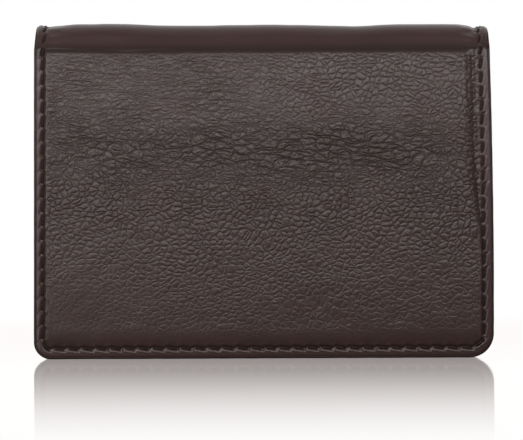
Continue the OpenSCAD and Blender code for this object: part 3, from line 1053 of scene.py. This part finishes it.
def u_outline(half_w, base, top, radius, count, turns):
    """Down the left, along the base and up the right, as rows of (x, z, inward x, inward z)."""
    turn = np.linspace(0, math.pi / 2, turns)
    left = np.concatenate([
        rows(-half_w, np.linspace(top, base + radius, count)[:-1], 1, 0),
        rows(-half_w + radius - radius * np.cos(turn), base + radius - radius * np.sin(turn),
             np.cos(turn), np.sin(turn)),
        rows(np.linspace(-half_w + radius, 0, count)[1:], base, 0, 1)])
    return np.concatenate([left, left[-2::-1] * np.array([-1, 1, -1, 1])])


def pocket_outline(inset=0.0, radius=2.6):
    """The pocket's outline as (x, z) points: down the left side, along the base, up and over."""
    half_w, base, top = POCKET_HIGH[0] - inset, POCKET_LOW[2] + inset, POCKET_HIGH[2] - inset
    notch = NOTCH_HALF + 2
    mouth_x = np.concatenate([np.linspace(half_w, notch, 20), notch * np.cos(np.linspace(0, math.pi, 61)),
                              np.linspace(-notch, -half_w, 20)])[1:-1]
    sides = u_outline(half_w, base, top, radius, 30, 9)[:, :2]
    return np.concatenate([sides, rows(mouth_x, pocket_mouth(mouth_x, inset))])


def build_pocket():
    low, high = box_mm("pocket_panel")
    plane = Plane(low[1], -1)
    half_w, base = high[0], low[2]

    def face(x, z):
        drop = pocket_mouth(x) - z
        side = np.minimum(half_w - np.abs(x), z - base)
        bevel = -0.2 * (1 - ramp(np.minimum(drop, side), 0, 0.7))
        line = -0.08 * ridge(drop, 1.3, 0.25)
        seam = -0.12 * ridge(side, 1.75, 0.38) * ramp(drop, 1.0, 1.2)
        pillow = 0.1 * ramp(side, 2.4, 3.0) * ramp(drop, 1.6, 3.0)
        return bevel + line + seam + pillow + 0.45 * grain(x + 57, z + 260) - 0.05

    panel("pocket_front_leather", "pocket", "pocket_panel", plane, half_w, base, lambda x: pocket_mouth(x, 0.25),
          high[1] - low[1], face, INNER_LEATHER, step=0.45)
    low, high = box_mm("pocket_lining")
    panel("pocket_front_lining", "pocket", "pocket_lining", Plane(high[1], 1), half_w - 0.05, base,
          lambda x: pocket_mouth(x, 0.3), high[1] - low[1], level(0), TWILL, step=1.0)

    build_pocket_bead()
    keep = [p for p in pocket_outline(1.9)
            if p[1] < POCKET_HIGH[2] - 2.3 and not (abs(p[0]) < NOTCH_HALF + 3 and p[1] > 30)]
    sew("pocket_seam_stitching", straight_row(keep, plane), "pocket", "pocket_stitching")


def build_pocket_bead():
    """The paint on the edge of the pocket's front."""
    outline = pocket_outline()
    tangent = np.roll(outline, -1, 0) - np.roll(outline, 1, 0)
    outward = rows(-tangent[:, 1], tangent[:, 0]) / np.linalg.norm(tangent, axis=1, keepdims=True)
    outward *= -np.sign(outward[5, 0])  # the outline starts on the left side
    front_y, back_y = POCKET_LOW[1], POCKET_HIGH[1]
    angles = np.linspace(0, 2 * math.pi, 12, endpoint=False)
    bulge, rise = np.cos(angles), np.sign(np.sin(angles)) * np.abs(np.sin(angles)) ** 0.7
    out = np.where(bulge > 0, bulge * 0.3, bulge * 0.08) - 0.3
    y = (front_y + back_y) / 2 + (back_y - front_y) / 2 * 0.94 * rise
    rings = rows(outline[:, :1] + out * outward[:, :1], y, outline[:, 1:] + out * outward[:, 1:])
    along = run_length(np.concatenate([outline, outline[:1]]))
    bead = sweep("pocket_edge_bead", [(np.concatenate([rings, rings[:1]]), rows(along, angles * 0.3))],
                 EDGE_PAINT, closed_ends=False)
    attach(bead, "pocket", "pocket_edge_paint")


def build_gusset():
    """One folded strip down both sides and along the base of the pocket, from its front to the back."""
    low, high = box_mm("pocket_gusset")
    path = u_outline(high[0], low[2], high[2], 4.0, 40, 12)
    fold_depth, skin = 3.4, 0.28
    t = np.linspace(-1, 1, 25)
    arch = 1 - np.sqrt(t * t + 0.012)
    inward = fold_depth * (arch - arch[0]) / (arch.max() - arch[0])
    y = low[1] + (high[1] - low[1]) * (t + 1) / 2
    slope = np.gradient(inward, y)
    length = np.sqrt(1 + slope ** 2)
    # the strip's section goes along its outer face and back along its inner face
    both = [(inward - side * skin / length + 0.02, y + side * skin * slope / length) for side in (-1, 1)]
    section_in, section_y = (np.append(over, under[::-1]) for over, under in zip(*both))
    wave = 1 + 0.05 * noise(path[:, 0] / 9, path[:, 1] / 9, 44)[:, None]
    moved = section_in * wave
    rings = rows(path[:, :1] + moved * path[:, 2:3], np.clip(section_y, low[1], high[1]),
                 path[:, 1:2] + moved * path[:, 3:])
    places = rows(run_length(path), np.append(t, t[::-1]) * 4)
    strip = sweep("pocket_gusset_leather", [(rings, places)], INNER_LEATHER)
    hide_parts("pocket_gusset")
    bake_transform(strip)


def dress_cloths():
    """The slot backings stay CAD nodes with the backing cloth's finish."""
    for node in ("upper_slot_cloth", "lower_slot_cloth"):
        cloth = frame["nodes"][node]
        cloth.data.materials.clear()
        cloth.data.materials.append(CLOTH)


# ---- Camera, floor and light ----

CAMERA_AWAY = 600.0  # from the case's front face
VIEW_WIDTH = 117.9  # width of the picture at the front face
VIEW_CENTRE = (-0.41, 31.3)  # what the picture's middle shows, as (x, z)
CAMERA_ROLL = math.radians(0.25)


def build_camera():
    data = bpy.data.cameras.new("camera")
    camera = add_object("camera", data)
    data.sensor_width = 36
    data.lens = data.sensor_width * CAMERA_AWAY / VIEW_WIDTH
    data.clip_start, data.clip_end = 0.05, 20
    camera.location = (VIEW_CENTRE[0] * MM, -(HALF_D + CAMERA_AWAY) * MM, VIEW_CENTRE[1] * MM)
    camera.rotation_euler = (math.pi / 2, CAMERA_ROLL, 0)
    bpy.context.scene.camera = camera


GLOSS_NEAR = 0.71  # share of reflection beside the case
GLOSS_REACH = 0.25  # metres over which the reflection fades


def empty_tree(owner):
    owner.use_nodes = True
    owner.node_tree.nodes.clear()
    return Nodes(owner.node_tree)


def build_floor():
    """A white floor, glossy beside the case only."""
    size = 6.0
    mesh = bpy.data.meshes.new("floor")
    corners = [(-size, -size, 0), (size, -size, 0), (size, size, 0), (-size, size, 0)]
    mesh.from_pydata(corners, [], [(0, 1, 2, 3)])
    floor = add_object("floor", mesh)
    material = bpy.data.materials.new("glossy_white_floor")
    m = empty_tree(material)
    y = m.add("SeparateXYZ", {0: m.add("NewGeometry")["Position"]})[1]
    reach = (m.math("ABSOLUTE", y), HALF_D * MM, HALF_D * MM + GLOSS_REACH)
    share = m.fit(*reach, GLOSS_NEAR, 0.0, interpolation_type="SMOOTHSTEP")
    tint = m.mix(m.fit(*reach), (1, 0.92, 0.895, 1), (1, 1, 1, 1))
    white = m.add("Emission", {"Color": tint, "Strength": 1.0})[0]
    gloss = m.add("BsdfGlossy", {"Color": (1, 1, 1, 1), "Roughness": 0.06})[0]
    m.add("OutputMaterial", {"Surface": m.add("MixShader", {0: share, 1: white, 2: gloss})[0]})
    mesh.materials.append(material)
    floor.visible_diffuse = False
    floor.visible_glossy = False
    floor.visible_shadow = False


def build_world():
    """A white backdrop for the camera, and a room that is dim in front and below for the case."""
    world = bpy.data.worlds.new("studio")
    bpy.context.scene.world = world
    m = empty_tree(world)
    direction = m.add("SeparateXYZ", {0: m.add("TexCoord")["Generated"]})
    back = m.fit(direction[1], -0.25, 0.5, 0.06, 1.15)
    above = m.fit(direction[2], -0.12, 0.08, 0.12, 1.0)
    seen = m.add("LightPath")["Is Camera Ray"]
    strength = m.add("Mix", {"Factor": seen, "A": m.times(back, above), "B": 1.0})[0]
    background = m.add("Background", {"Color": (1, 1, 1, 1), "Strength": strength})[0]
    m.add("OutputWorld", {"Surface": background})


def area_light(name, place, target, size, power, colour):
    data = bpy.data.lights.new(name, "AREA")
    data.shape = "RECTANGLE"
    data.size, data.size_y = size
    data.energy = power
    data.color = colour
    light = add_object(name, data)
    light.location = place
    light.rotation_euler = (Vector(target) - Vector(place)).to_track_quat("-Z", "Y").to_euler()
    light.visible_camera = False


def build_lights():
    area_light("key_softbox", (-0.005, -0.165, 0.10), (-0.005, 0, 0.06), (0.34, 0.05), 0.320, (1.0, 0.99, 1.0))
    area_light("left_fill", (-0.17, -0.26, 0.01), (-0.03, 0, 0.02), (0.10, 0.08), 0.100, (1.0, 1.0, 1.0))


bpy.context.scene.view_settings.view_transform = "Standard"
build_camera()
build_floor()
build_world()
build_lights()
build_cover_layers()
build_boards()
build_edge_paint()
build_rim_stitching()
build_slots()
build_pocket()
build_gusset()
dress_cloths()
